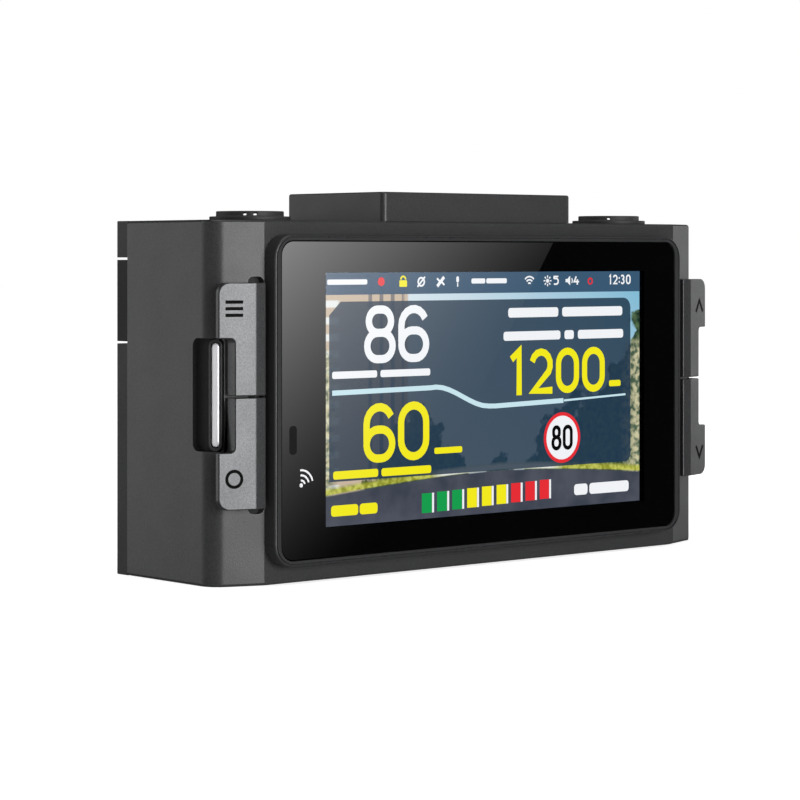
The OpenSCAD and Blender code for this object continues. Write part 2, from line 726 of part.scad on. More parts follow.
front_housing();
rear_cover();
sensor_window();
display_bezel();
cover_glass();
lcd_panel();
backlight();
lcd_bracket();
bracket_screws();
display_flex();
gesture_sensor();
menu_button();
ok_button();
up_button();
down_button();
power_key();
power_key_surround();
record_key();
record_key_surround();
left_button_board();
right_button_board();
left_switches();
right_switches();
main_board();
heat_sink();
wifi_module();
dock_block();
dock_contacts();
dock_magnets();
dock_screws();
top_cap_left();
top_cap_right();
lens_ring();
lens_barrel();
lens_glass();
camera_board();
radar_horn();
radar_module();
laser_receiver();
speaker();
microphone();
gps_antenna();
supercapacitors();
card_socket();
memory_card();
usb_socket();
case_screws();
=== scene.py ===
"""Looks for an in-car radar detector and recorder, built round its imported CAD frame."""
import json
import math

import bmesh
import bpy
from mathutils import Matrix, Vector

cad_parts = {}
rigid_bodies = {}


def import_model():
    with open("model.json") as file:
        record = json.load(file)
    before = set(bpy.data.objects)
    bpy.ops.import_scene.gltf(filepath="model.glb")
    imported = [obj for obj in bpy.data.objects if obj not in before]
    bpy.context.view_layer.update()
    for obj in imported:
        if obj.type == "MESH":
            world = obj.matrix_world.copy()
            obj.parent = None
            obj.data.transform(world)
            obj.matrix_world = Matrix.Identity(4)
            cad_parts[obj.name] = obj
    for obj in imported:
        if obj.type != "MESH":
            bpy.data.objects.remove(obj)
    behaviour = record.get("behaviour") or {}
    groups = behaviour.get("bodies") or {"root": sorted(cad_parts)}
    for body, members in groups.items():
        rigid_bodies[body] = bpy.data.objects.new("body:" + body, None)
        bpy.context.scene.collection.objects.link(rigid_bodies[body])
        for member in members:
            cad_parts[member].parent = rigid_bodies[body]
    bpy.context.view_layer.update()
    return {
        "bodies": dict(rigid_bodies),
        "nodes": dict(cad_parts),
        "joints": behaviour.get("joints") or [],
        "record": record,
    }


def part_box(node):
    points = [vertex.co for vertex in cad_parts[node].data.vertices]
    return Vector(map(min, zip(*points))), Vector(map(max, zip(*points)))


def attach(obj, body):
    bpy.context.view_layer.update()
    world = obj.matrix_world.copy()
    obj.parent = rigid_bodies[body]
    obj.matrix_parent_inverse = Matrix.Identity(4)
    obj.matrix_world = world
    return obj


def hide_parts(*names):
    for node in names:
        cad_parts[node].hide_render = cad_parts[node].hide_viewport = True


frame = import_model()
nodes = frame["nodes"]
scene = bpy.context.scene
scene.view_settings.view_transform = "Standard"

MM = 0.001


def span(node):
    """Lowest and highest corner of a CAD node, in millimetres."""
    low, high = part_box(node)
    return low / MM, high / MM


HOUSING_LOW, HOUSING_HIGH = span("front_housing")
BEZEL_LOW, BEZEL_HIGH = span("display_bezel")
GLASS_LOW, GLASS_HIGH = span("cover_glass")
PANEL_LOW, PANEL_HIGH = span("lcd_panel")
FRONT_Y = HOUSING_LOW.y
BODY_H = HOUSING_HIGH.z
GLASS_Y = GLASS_LOW.y

# ---- Camera and lights ----

# The camera stands level, CAMERA_IN_FRONT of the front frame, and looks CAMERA_YAW degrees to the right.
CAMERA_YAW = 41.0
CAMERA_X = -284.7
CAMERA_IN_FRONT = 308.0
CAMERA_Z = 47.75
CAMERA_LENS = 121.5
CAMERA_SENSOR = 36.0
CAMERA_SHIFT_Y = -0.18
LIGHT_AWAY = 0.9


def make_camera():
    data = bpy.data.cameras.new("camera")
    data.lens = CAMERA_LENS
    data.sensor_width = CAMERA_SENSOR
    data.shift_y = CAMERA_SHIFT_Y
    data.clip_start = 0.01
    camera = bpy.data.objects.new("camera", data)
    camera.location = (CAMERA_X * MM, (FRONT_Y - CAMERA_IN_FRONT) * MM, CAMERA_Z * MM)
    camera.rotation_euler = (math.radians(90), 0, -math.radians(CAMERA_YAW))
    scene.collection.objects.link(camera)
    scene.camera = camera


def softbox(name, azimuth, elevation, width, height, power):
    """A rectangular light that faces the object. Azimuth is from straight in front, towards +X."""
    data = bpy.data.lights.new(name, "AREA")
    data.shape = "RECTANGLE"
    data.size = width
    data.size_y = height
    data.energy = power
    lamp = bpy.data.objects.new(name, data)
    az, el = math.radians(azimuth), math.radians(elevation)
    target = Vector((0, 0, BODY_H / 2 * MM))
    away = Vector((math.sin(az) * math.cos(el), -math.cos(az) * math.cos(el), math.sin(el)))
    lamp.location = target + away * LIGHT_AWAY
    lamp.rotation_euler = away.to_track_quat("Z", "Y").to_euler()
    scene.collection.objects.link(lamp)


def mesh_object(name, verts, faces, material):
    """A new object in the scene. The corners are in metres."""
    mesh = bpy.data.meshes.new(name)
    mesh.from_pydata(verts, [], faces)
    mesh.materials.append(material)
    mesh.update()
    piece = bpy.data.objects.new(name, mesh)
    scene.collection.objects.link(piece)
    return piece


def face_outwards(piece):
    """Turns every face of a closed piece to look outwards."""
    bm = bmesh.new()
    bm.from_mesh(piece.data)
    bmesh.ops.recalc_face_normals(bm, faces=bm.faces)
    bm.to_mesh(piece.data)
    bm.free()


# A surface counts as flat where its own and its smoothed normal have at least FLAT_DOT as their product,
# and as an edge from EDGE_DOT down.
FLAT_DOT = 0.995
EDGE_DOT = 0.90


class Graph:
    """One material's node tree, with short ways to add to it."""

    def __init__(self, name):
        self.material = bpy.data.materials.new(name)
        self.material.use_nodes = True
        self.tree = self.material.node_tree
        self.tree.nodes.clear()
        self.out = self.tree.nodes.new("ShaderNodeOutputMaterial")
        self.place = self.node("ShaderNodeTexCoord").outputs["Object"]

    def node(self, kind, settings=None, **inputs):
        node = self.tree.nodes.new(kind)
        for key, value in (settings or {}).items():
            setattr(node, key, value)
        for key, value in inputs.items():
            self.feed(node.inputs[key.replace("_", " ")], value)
        return node

    def feed(self, socket, value):
        """Links an output into the socket, or sets the socket to a plain value."""
        if isinstance(value, bpy.types.NodeSocket):
            self.tree.links.new(value, socket)
        else:
            socket.default_value = value

    def math(self, operation, a, b=0.0):
        node = self.tree.nodes.new("ShaderNodeMath")
        node.operation = operation
        self.feed(node.inputs[0], a)
        self.feed(node.inputs[1], b)
        return node.outputs[0]

    def noise(self, size_mm, detail=2.0, where=None):
        """Noise from 0 to 1 whose blobs measure about size_mm."""
        node = self.node("ShaderNodeTexNoise", Vector=where or self.place, Scale=1 / (size_mm * MM),
                         Detail=detail)
        return node.outputs["Fac"]

    def remap(self, value, low, high, to_low, to_high):
        """Maps low..high onto to_low..to_high and stops at the ends."""
        node = self.node("ShaderNodeMapRange", Value=value)
        for key, number in (("From Min", low), ("From Max", high), ("To Min", to_low), ("To Max", to_high)):
            node.inputs[key].default_value = number
        return node.outputs["Result"]

    def blend(self, amount, a, b):
        node = self.tree.nodes.new("ShaderNodeMix")
        node.data_type = "RGBA"
        for socket, value in ((node.inputs["Factor"], amount), (node.inputs["A"], a), (node.inputs["B"], b)):
            if socket.type == "RGBA" and not isinstance(value, bpy.types.NodeSocket):
                value = (*value, 1.0) if len(value) == 3 else value
            self.feed(socket, value)
        return [s for s in node.outputs if s.type == "RGBA"][0]

    def edges(self, radius_mm):
        """1 along sharp edges and 0 on flat ground."""
        soft = self.node("ShaderNodeBevel", {"samples": 4}, Radius=radius_mm * MM).outputs["Normal"]
        hard = self.node("ShaderNodeNewGeometry").outputs["Normal"]
        dot = self.tree.nodes.new("ShaderNodeVectorMath")
        dot.operation = "DOT_PRODUCT"
        self.feed(dot.inputs[0], soft)
        self.feed(dot.inputs[1], hard)
        return self.remap(dot.outputs["Value"], FLAT_DOT, EDGE_DOT, 0.0, 1.0)

    def bump(self, height, depth_mm):
        node = self.node("ShaderNodeBump", Height=height, Distance=depth_mm * MM)
        node.inputs["Strength"].default_value = 1.0
        return node.outputs["Normal"]

    def finish(self, shader):
        self.tree.links.new(shader, self.out.inputs["Surface"])
        return self.material


def scaled(colour, factor):
    return tuple(min(1.0, c * factor) for c in colour)


DRIFT_MM, DRIFT = 14, 0.04
SMUDGE_MM, SMUDGE = 5, 0.015
CHIP_MM, WEAR_MM = 1.6, 0.25
WORN_TONE, WORN_SHINE = 2.6, 0.1


def moulded(name, colour, roughness, metallic=0.0, grain_mm=0.2, grain_depth=0.009, speckle=0.35,
            wear=0.35, specular=0.5):
    """Moulded or painted plastic: fine grain, faint colour drift, lighter and smoother along its edges."""
    g = Graph(name)
    drift = g.noise(DRIFT_MM, 3)
    fine = g.noise(grain_mm, 2)
    ground = g.blend(drift, scaled(colour, 1 - DRIFT), scaled(colour, 1 + DRIFT))
    speck = g.blend(g.remap(fine, 0.35, 0.65, 0, 1), scaled(colour, 1 - speckle), scaled(colour, 1 + speckle))
    tone = g.blend(0.6, ground, speck)
    broken = g.math("MULTIPLY", g.edges(WEAR_MM), g.remap(g.noise(CHIP_MM, 3), 0.3, 0.7, 0.45, 1.0))
    worn = g.blend(g.math("MULTIPLY", broken, wear), tone, scaled(colour, WORN_TONE))
    shine = g.remap(g.noise(SMUDGE_MM, 2), 0.3, 0.7, roughness - SMUDGE, roughness + SMUDGE)
    shine = g.math("SUBTRACT", shine, g.math("MULTIPLY", broken, WORN_SHINE))
    shader = g.node("ShaderNodeBsdfPrincipled", Base_Color=worn, Roughness=shine,
                    Normal=g.bump(fine, grain_depth))
    shader.inputs["Metallic"].default_value = metallic
    shader.inputs["Specular IOR Level"].default_value = specular
    return g.finish(shader.outputs[0])


STREAK_SQUEEZE = 0.05
METAL_WEAR, METAL_WEAR_MM = 0.3, 0.15


def metal(name, colour, roughness, streak_mm=0.4, along=2):
    """Plated or brushed metal with fine streaks along one axis, and rubbed edges."""
    g = Graph(name)
    stretch = [1.0, 1.0, 1.0]
    stretch[along] = STREAK_SQUEEZE
    where = g.node("ShaderNodeMapping", Vector=g.place, Scale=stretch).outputs[0]
    streaks = g.noise(streak_mm, 3, where)
    tone = g.blend(streaks, scaled(colour, 0.82), scaled(colour, 1.12))
    tone = g.blend(g.math("MULTIPLY", g.edges(METAL_WEAR_MM), METAL_WEAR), tone, scaled(colour, 1.4))
    shader = g.node("ShaderNodeBsdfPrincipled", Base_Color=tone,
                    Roughness=g.remap(streaks, 0.3, 0.7, roughness - 0.06, roughness + 0.08),
                    Normal=g.bump(streaks, 0.002))
    shader.inputs["Metallic"].default_value = 1.0
    return g.finish(shader.outputs[0])


TRACK_MM, PAD_MM = 2.2, 1.7


def circuit_board(name):
    """Green solder mask over faint copper tracks, with pale pads."""
    g = Graph(name)
    tracks = g.node("ShaderNodeTexVoronoi", {"feature": "DISTANCE_TO_EDGE", "distance": "MANHATTAN"},
                    Vector=g.place, Scale=1 / (TRACK_MM * MM)).outputs["Distance"]
    on_track = g.remap(tracks, 0.03, 0.05, 1.0, 0.0)
    tone = g.blend(on_track, (0.012, 0.09, 0.035), (0.03, 0.17, 0.06))
    pads = g.node("ShaderNodeTexVoronoi", Vector=g.place, Scale=1 / (PAD_MM * MM)).outputs["Distance"]
    on_pad = g.remap(pads, 0.16, 0.2, 1.0, 0.0)
    tone = g.blend(on_pad, tone, (0.62, 0.6, 0.55))
    shader = g.node("ShaderNodeBsdfPrincipled", Base_Color=tone, Roughness=g.remap(on_pad, 0, 1, 0.35, 0.25),
                    Normal=g.bump(on_track, 0.02))
    return g.finish(shader.outputs[0])


# ---- Materials ----

# One for each slot of the record but cover_glass, and two for the sensor's mark and the painted shade in the
# key recesses

FINISH = {
    "housing_plastic": moulded("housing_plastic", (0.026, 0.0265, 0.0275), 0.40, grain_depth=0.016),
    "rear_plastic": moulded("rear_plastic", (0.014, 0.0145, 0.015), 0.44, grain_depth=0.016, specular=0.24),
    "window_plastic": moulded("window_plastic", (0.012, 0.011, 0.012), 0.42, grain_depth=0.0005, speckle=0.05,
                              specular=0.09),
    "bezel_plastic": moulded("bezel_plastic", (0.020, 0.0205, 0.0215), 0.36, grain_mm=0.08,
                             grain_depth=0.002),
    "button_plastic": moulded("button_plastic", (0.080, 0.0815, 0.084), 0.37, metallic=0.75, speckle=0.3),
    "bright_metal": moulded("bright_metal", (0.80, 0.80, 0.82), 0.22, metallic=0.45, grain_depth=0.0005,
                            speckle=0.03, wear=0.0),
    "rubber": moulded("rubber", (0.022, 0.022, 0.023), 0.6, grain_depth=0.01),
    "lens_trim": moulded("lens_trim", (0.022, 0.022, 0.024), 0.25, grain_depth=0.002, speckle=0.1),
    "black_plastic": moulded("black_plastic", (0.014, 0.014, 0.015), 0.5),
    "sensor_slot": moulded("sensor_slot", (0.009, 0.0088, 0.0088), 0.3, grain_depth=0.0005, speckle=0.1,
                           specular=0.12),
    # Painted shade: a darker, duller black for the floor and walls of the key recesses, which are the
    # housing's own plastic
    "recess": moulded("recess", (0.014, 0.014, 0.015), 0.6, specular=0.1),
    "lens_glass": moulded("lens_glass", (0.008, 0.009, 0.014), 0.06, grain_depth=0.0002, speckle=0.03,
                          wear=0.0),
    "black_screw": metal("black_screw", (0.06, 0.06, 0.065), 0.38, streak_mm=0.2),
    "steel": metal("steel", (0.58, 0.59, 0.6), 0.32),
    "aluminium": metal("aluminium", (0.66, 0.67, 0.68), 0.45, streak_mm=0.2),
    "zinc_alloy": metal("zinc_alloy", (0.45, 0.46, 0.47), 0.5, streak_mm=0.3),
    "magnet_nickel": metal("magnet_nickel", (0.72, 0.72, 0.71), 0.22, streak_mm=0.6, along=0),
    "gold_contact": metal("gold_contact", (0.86, 0.63, 0.25), 0.24, streak_mm=0.3, along=0),
    "white_plastic": moulded("white_plastic", (0.72, 0.72, 0.69), 0.5, speckle=0.04, wear=0.0),
    "flex_film": moulded("flex_film", (0.5, 0.22, 0.05), 0.3, speckle=0.1, wear=0.1),
    "sensor_lens": moulded("sensor_lens", (0.006, 0.003, 0.003), 0.25, grain_depth=0.0005, speckle=0.05,
                           specular=0.2),
    "circuit_board": circuit_board("circuit_board"),
    "antenna_ceramic": moulded("antenna_ceramic", (0.5, 0.4, 0.26), 0.7, speckle=0.12),
    "capacitor_sleeve": moulded("capacitor_sleeve", (0.015, 0.025, 0.12), 0.25, speckle=0.05),
    "screen": moulded("screen", (0.02, 0.024, 0.03), 0.2, speckle=0.05, wear=0.0),
}

SLOT_OF = {part["node"]: part["material_slot"] for part in frame["record"]["subparts"]}
BODY_OF = {name: body for body, names in frame["record"]["behaviour"]["bodies"].items() for name in names}


def dress(piece, node):
    """Gives a new piece the body of the node it stands for, and the finish of that node's slot if it has none
    yet.
    """
    slot = SLOT_OF[node]
    if not piece.data.materials:
        piece.data.materials.append(FINISH[slot])
    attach(piece, BODY_OF[node])


# In degrees: an edge counts as a corner to round from ROUND_FROM up. Edges that turn by more than SHARP
# stay crisp, and a rounded corner turns by less than that at each of its steps.
ROUND_FROM = 14.0
SHARP = 17.0
ROUND_STEPS = 6
MERGE_MM = 0.002
NEAR_MM = 0.02
FLAT_ANGLE = 0.6
FLAT_WEIGHT = 90


def round_edges(piece, rounds, default, round_from):
    """Rounds a piece's sharp edges, for good.

    rounds is a list of (width in mm, test), where test takes an edge's two ends in mm.
    The first test that passes sets the edge's rounding, and default is for all the others."""
    widest = max([default] + [width for width, test in rounds])
    if not widest:
        return
    bm = bmesh.new()
    bm.from_mesh(piece.data)
    weight = bm.edges.layers.float.new("bevel_weight_edge")
    for edge in bm.edges:
        if len(edge.link_faces) == 2 and edge.calc_face_angle(0) > math.radians(round_from):
            a, b = (v.co / MM for v in edge.verts)
            edge[weight] = next((w for w, test in rounds if test(a, b)), default) / widest
    bm.to_mesh(piece.data)
    bm.free()
    bevel = piece.modifiers.new("rounding", "BEVEL")
    bevel.limit_method = "WEIGHT"
    bevel.width = widest * MM
    bevel.segments = ROUND_STEPS
    bevel.use_clamp_overlap = False
    bevel.miter_outer = "MITER_ARC"
    bevel.harden_normals = False
    graph = bpy.context.evaluated_depsgraph_get()
    rounded = bpy.data.meshes.new_from_object(piece.evaluated_get(graph), depsgraph=graph)
    piece.modifiers.clear()
    plain, piece.data = piece.data, rounded
    rounded.name = piece.name
    bpy.data.meshes.remove(plain)


def shade(piece):
    """Shades the rounded corners smoothly and leaves flat ground flat."""
    bm = bmesh.new()
    bm.from_mesh(piece.data)
    for face in bm.faces:
        face.smooth = True
    for edge in bm.edges:
        edge.smooth = len(edge.link_faces) == 2 and edge.calc_face_angle(0) < math.radians(SHARP)
    bm.to_mesh(piece.data)
    bm.free()
    normals = piece.modifiers.new("normals", "WEIGHTED_NORMAL")
    normals.keep_sharp = True
    normals.weight = FLAT_WEIGHT


def rebuilt(node, name, rounds=(), default=0.0, round_from=ROUND_FROM):
    """A finished shell over a CAD node: its flat areas are joined up and its edges are rounded."""
    mesh = nodes[node].data.copy()
    mesh.materials.clear()
    bm = bmesh.new()
    bm.from_mesh(mesh)
    bmesh.ops.remove_doubles(bm, verts=bm.verts, dist=MERGE_MM * MM)
    bmesh.ops.dissolve_limit(bm, angle_limit=math.radians(FLAT_ANGLE), verts=bm.verts, edges=bm.edges)
    bm.to_mesh(mesh)
    bm.free()
    piece = bpy.data.objects.new(name, mesh)
    scene.collection.objects.link(piece)
    round_edges(piece, rounds, default, round_from)
    shade(piece)
    dress(piece, node)
    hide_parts(node)
    return piece


def plate(name, corners, radius, y0, y1, chamfer, material):
    """A flat plate with round corners and a chamfered front edge, from y0 to y1 in mm."""
    x0, z0, x1, z1 = corners
    loops = []
    for inset, y in ((chamfer, y0), (0.0, y0 + chamfer), (0.0, y1)):
        outline = round_rect(x0 + inset, z0 + inset, x1 - inset, z1 - inset, radius - inset)
        loops.append([(x * MM, y * MM, z * MM) for x, z in outline])
    count = len(loops[0])
    faces = [tuple(range(count)), tuple(reversed(range(2 * count, 3 * count)))]
    for low in (0, count):
        faces += [(low + i, low + i + count, low + (i + 1) % count + count, low + (i + 1) % count)
                  for i in range(count)]
    piece = mesh_object(name, [v for loop in loops for v in loop], faces, material)
    face_outwards(piece)
    return piece


def arc(cx, cy, r, a0, a1, count=8):
    """Points of an arc from angle a0 to a1 in degrees, in count steps."""
    return [(cx + r * math.cos(math.radians(a0 + (a1 - a0) * i / count)),
             cy + r * math.sin(math.radians(a0 + (a1 - a0) * i / count))) for i in range(count + 1)]


def round_rect(x0, y0, x1, y1, r, count=6):
    return (arc(x0 + r, y0 + r, r, 180, 270, count) + arc(x1 - r, y0 + r, r, 270, 360, count)
            + arc(x1 - r, y1 - r, r, 0, 90, count) + arc(x0 + r, y1 - r, r, 90, 180, count))


def near(value, target):
    return abs(value - target) < NEAR_MM


# ---- Stage ----

WORLD_SEEN = 1.0
WORLD_DIFFUSE = 0.5
WORLD_GLOSSY = 0.05
FLOOR_GLOW = 0.74
FLOOR_REACH = 3.0


def make_world():
    """A white surround for the camera, a softer one for dull surfaces and a dark one for reflections."""
    world = bpy.data.worlds.new("studio")
    scene.world = world
    world.use_nodes = True
    tree = world.node_tree
    background = tree.nodes["Background"]
    background.inputs["Color"].default_value = (1, 1, 1, 1)
    path = tree.nodes.new("ShaderNodeLightPath")
    strength = WORLD_DIFFUSE
    for output, level in (("Is Glossy Ray", WORLD_GLOSSY), ("Is Camera Ray", WORLD_SEEN)):
        mix = tree.nodes.new("ShaderNodeMix")
        mix.data_type = "FLOAT"
        tree.links.new(path.outputs[output], mix.inputs["Factor"])
        if isinstance(strength, float):
            mix.inputs["A"].default_value = strength
        else:
            tree.links.new(strength, mix.inputs["A"])
        mix.inputs["B"].default_value = level
        strength = mix.outputs["Result"]
    tree.links.new(strength, background.inputs["Strength"])


def make_floor():
    """A pale floor that glows faintly, and that glossy surfaces don't mirror."""
    g = Graph("floor_paint")
    tone = g.blend(g.noise(60, 2), (0.84, 0.84, 0.84), (0.86, 0.86, 0.86))
    shader = g.node("ShaderNodeBsdfPrincipled", Base_Color=tone, Emission_Color=tone)
    shader.inputs["Roughness"].default_value = 0.9
    shader.inputs["Emission Strength"].default_value = FLOOR_GLOW
    corners = [(x * FLOOR_REACH, y * FLOOR_REACH, 0) for x, y in ((-1, -1), (1, -1), (1, 1), (-1, 1))]
    floor = mesh_object("floor", corners, [(0, 1, 2, 3)], g.finish(shader.outputs[0]))
    floor.visible_glossy = False


# The card is a graded reflector that stands parallel to the glass, CARD_AWAY in front of it. In millimetres
# on the card, its glow is brightest at CARD_CORNER, falls off to the right and downwards, and ends in a
# slanting edge. Only the mirror-smooth glass shows it, as a share GLASS_REFLECTS of its light.
CARD_AWAY = 150.0
CARD_X = (40.0, 240.0)
CARD_Z = (-60.0, 110.0)
CARD_CORNER = (80.4, 47.2)
CARD_LEVEL = 0.494
CARD_FALL_X = 0.00463
CARD_FALL_Z = 0.0060
CARD_EDGE = (159.1, 50.8)
CARD_EDGE_SLOPE = 0.689
DISPLAY_GAMMA = 2.2
GLASS_REFLECTS = 0.047


def make_card():
    """The reflector whose mirror image is the sheen on the glass."""
    g = Graph("card_glow")
    place = g.node("ShaderNodeSeparateXYZ", Vector=g.place)
    across, up = (g.math("DIVIDE", place.outputs[axis], MM) for axis in ("X", "Z"))
    right = g.math("MULTIPLY", g.math("SUBTRACT", across, CARD_CORNER[0]), CARD_FALL_X)
    down = g.math("MULTIPLY", g.math("SUBTRACT", CARD_CORNER[1], up), CARD_FALL_Z)
    level = g.math("SUBTRACT", CARD_LEVEL, g.math("ADD", right, down))
    level = g.math("POWER", g.math("MAXIMUM", level, 0.0), DISPLAY_GAMMA)
    edge = g.math("SUBTRACT", CARD_EDGE[0],
                  g.math("MULTIPLY", g.math("SUBTRACT", CARD_EDGE[1], up), CARD_EDGE_SLOPE))
    inside = g.math("LESS_THAN", across, edge)
    mirrored = g.node("ShaderNodeLightPath").outputs["Is Singular Ray"]
    shown = g.math("MULTIPLY", g.math("MULTIPLY", level, inside), mirrored)
    glow = g.node("ShaderNodeEmission", Strength=g.math("DIVIDE", shown, GLASS_REFLECTS))
    material = g.finish(glow.outputs[0])
    y = (GLASS_Y - CARD_AWAY) * MM
    (x0, x1), (z0, z1) = ((a * MM, b * MM) for a, b in (CARD_X, CARD_Z))
    card = mesh_object("card", [(x0, y, z0), (x1, y, z0), (x1, y, z1), (x0, y, z1)], [(3, 2, 1, 0)], material)
    card.visible_camera = False
    card.visible_diffuse = False
    card.visible_shadow = False
    card.visible_transmission = False


make_camera()
make_world()
make_floor()
make_card()
softbox("front_box", 0, 4, 0.40, 0.6, 8.6)
softbox("right_box", 86, 10, 0.35, 0.5, 0.9)
softbox("left_rear_box", -142, 10, 0.62, 0.7, 1.7)
softbox("top_box", 0, 88, 0.6, 0.6, 2)

# ---- Printed marks and the lit picture ----


class Ink:
    """Thin raised marks gathered into one piece. Points are (x, z) in mm unless a frame says otherwise."""

    def __init__(self, name, material, y0, y1, frame=None):
        self.name, self.material, self.y0, self.y1 = name, material, y0, y1
        self.frame = frame or (lambda a, b, depth: (a, depth, b))
        self.verts, self.faces = [], []

    def add(self, a, b, depth):
        self.verts.append(tuple(v * MM for v in self.frame(a, b, depth)))
        return len(self.verts) - 1

    def fill(self, points):
        """A filled outline."""
        if sum(p[0] * q[1] - q[0] * p[1] for p, q in zip(points, points[1:] + points[:1])) < 0:
            points = points[::-1]
        front = [self.add(a, b, self.y0) for a, b in points]
        back = [self.add(a, b, self.y1) for a, b in points]
        self.faces.append(tuple(front))
        self.faces.append(tuple(reversed(back)))
        count = len(points)
        for i in range(count):
            j = (i + 1) % count
            self.faces.append((front[i], back[i], back[j], front[j]))

    def bar(self, x0, z0, x1, z1, share):
        """A bar whose corner radius is a share of its narrow side, up to a half."""
        r = min(x1 - x0, z1 - z0) * share
        self.fill(round_rect(x0, z0, x1, z1, r, 3) if r else [(x0, z0), (x1, z0), (x1, z1), (x0, z1)])

    def ribbon(self, points, width, closed=False):
        """A line of even width through the points."""
        count = len(points)
        rails = []
        for i, (px, pz) in enumerate(points):
            before = points[i - 1] if i or closed else points[i]
            after = points[(i + 1) % count] if i < count - 1 or closed else points[i]
            one = Vector((px - before[0], pz - before[1]))
            two = Vector((after[0] - px, after[1] - pz))
            one = one.normalized() if one.length > 1e-6 else two.normalized()
            two = two.normalized() if two.length > 1e-6 else one
            way = (one + two).normalized()
            reach = width / 2 / max(0.5, way.dot(two))
            rails.append(((px - way.y * reach, pz + way.x * reach), (px + way.y * reach, pz - way.x * reach)))
        rows = [[self.add(*left, self.y0), self.add(*right, self.y0), self.add(*right, self.y1),
                 self.add(*left, self.y1)] for left, right in rails]
        steps = count if closed else count - 1
        for i in range(steps):
            one, two = rows[i], rows[(i + 1) % count]
            for k in range(4):
                m = (k + 1) % 4
                self.faces.append((one[k], one[m], two[m], two[k]))
        if not closed:
            self.faces.append(tuple(reversed(rows[0])))
            self.faces.append(tuple(rows[-1]))

    def ring(self, cx, cz, r, width, a0=0, a1=360, count=24):
        """A line of even width along an arc or a whole circle."""
        whole = a1 - a0 >= 360
        points = arc(cx, cz, r, a0, a1, count)
        self.ribbon(points[:-1] if whole else points, width, whole)

    def make(self, body="case", slot="screen"):
        """Turns the marks into a piece that rides on a body."""
        piece = mesh_object(self.name, self.verts, self.faces, self.material)
        face_outwards(piece)
        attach(piece, body)


def digit(ink, figure, x, z, w, h, s):
    """A tall figure with round corners in a box of w by h, drawn with lines of width s."""
    x0, x1, z0, z1 = x + s / 2, x + w - s / 2, z + s / 2, z + h - s / 2
    cx, r = (x0 + x1) / 2, (x1 - x0) / 2
    mid = z0 + (z1 - z0) * 0.53

    def loop(low, high, inset=0.0):
        k = min(r - inset, (high - low) / 2)
        points = []
        for qx, qz, a0 in ((cx + r - inset - k, high - k, 0), (cx - r + inset + k, high - k, 90),
                           (cx - r + inset + k, low + k, 180), (cx + r - inset - k, low + k, 270)):
            points += arc(qx, qz, k, a0, a0 + 90, 6)
        clean = [p for i, p in enumerate(points) if math.dist(p, points[i - 1]) > 1e-4]
        ink.ribbon(clean, s, True)

    if figure == "0":
        loop(z0, z1)
    elif figure == "8":
        loop(z0, mid)
        loop(mid, z1, s * 0.25)
    elif figure == "6":
        loop(z0, mid + s * 0.2)
        ink.ribbon(arc(cx, z1 - r, r, 25, 180, 8) + [(x0, z0 + r)], s)
    elif figure == "1":
        ink.ribbon([(x0 + r * 0.1, z1 - h * 0.14), (cx + r * 0.3, z1 + s * 0.2), (cx + r * 0.3, z)], s)
    elif figure == "2":
        ink.ribbon(arc(cx, z1 - r, r, 165, -35, 8) + [(x0 + s * 0.3, z0), (x1 + s * 0.4, z0)], s)
    elif figure == "3":
        k = (z1 - mid) / 2
        ink.ribbon(arc(cx, z1 - k, k, 150, -90, 8), s)
        k = (mid - z0) / 2
        ink.ribbon(arc(cx, z0 + k, k, 90, -150, 8), s)
    elif figure == "4":
        ink.ribbon([(cx, z1), (x0, z0 + h * 0.25), (x1 + s / 2, z0 + h * 0.25)], s)
        ink.ribbon([(cx + r * 0.5, z0 + h * 0.5), (cx + r * 0.5, z)], s)
    elif figure == "5":
        k = (mid - z0 + s) / 2
        ink.ribbon([(x1, z1), (x0 + s * 0.2, z1), (x0, z0 + 2 * k - s * 0.2)], s)
        ink.ribbon([(x0, z0 + 2 * k)] + arc(x1 - k, z0 + k, k, 90, -90, 10) + [(x0, z0)], s)


# The lit area on the panel: its margins at the left, right, bottom and top
MARGIN_LEFT, MARGIN_RIGHT, MARGIN_BOTTOM, MARGIN_TOP = 2.15, 1.8, 2.25, 2.75
SCREEN_X0, SCREEN_X1 = PANEL_LOW.x + MARGIN_LEFT, PANEL_HIGH.x - MARGIN_RIGHT
SCREEN_Z0, SCREEN_Z1 = PANEL_LOW.z + MARGIN_BOTTOM, PANEL_HIGH.z - MARGIN_TOP
DOT_MM, DOT_CONTRAST = 0.12, 0.05
SCENE_STRENGTH = 0.95


def at(u, v):
    """A point on the screen, from fractions of its width and height."""
    return SCREEN_X0 + u * (SCREEN_X1 - SCREEN_X0), SCREEN_Z0 + v * (SCREEN_Z1 - SCREEN_Z0)


def glowing(g, tone, strength=1.0, alpha=1.0):
    """Finishes a material that only gives out light."""
    shader = g.node("ShaderNodeBsdfPrincipled", Emission_Color=tone)
    for key, value in (("Base Color", (0, 0, 0, 1)), ("Roughness", 0.8), ("Specular IOR Level", 0.0),
                       ("Emission Strength", strength), ("Alpha", alpha)):
        shader.inputs[key].default_value = value
    return g.finish(shader.outputs[0])


def lit(name, colour, alpha=1.0):
    """A mark that glows evenly, with the faint grain of the display's dots."""
    g = Graph(name)
    tone = g.blend(g.noise(DOT_MM, 1), scaled(colour, 1 - DOT_CONTRAST), colour)
    return glowing(g, tone, alpha=alpha)


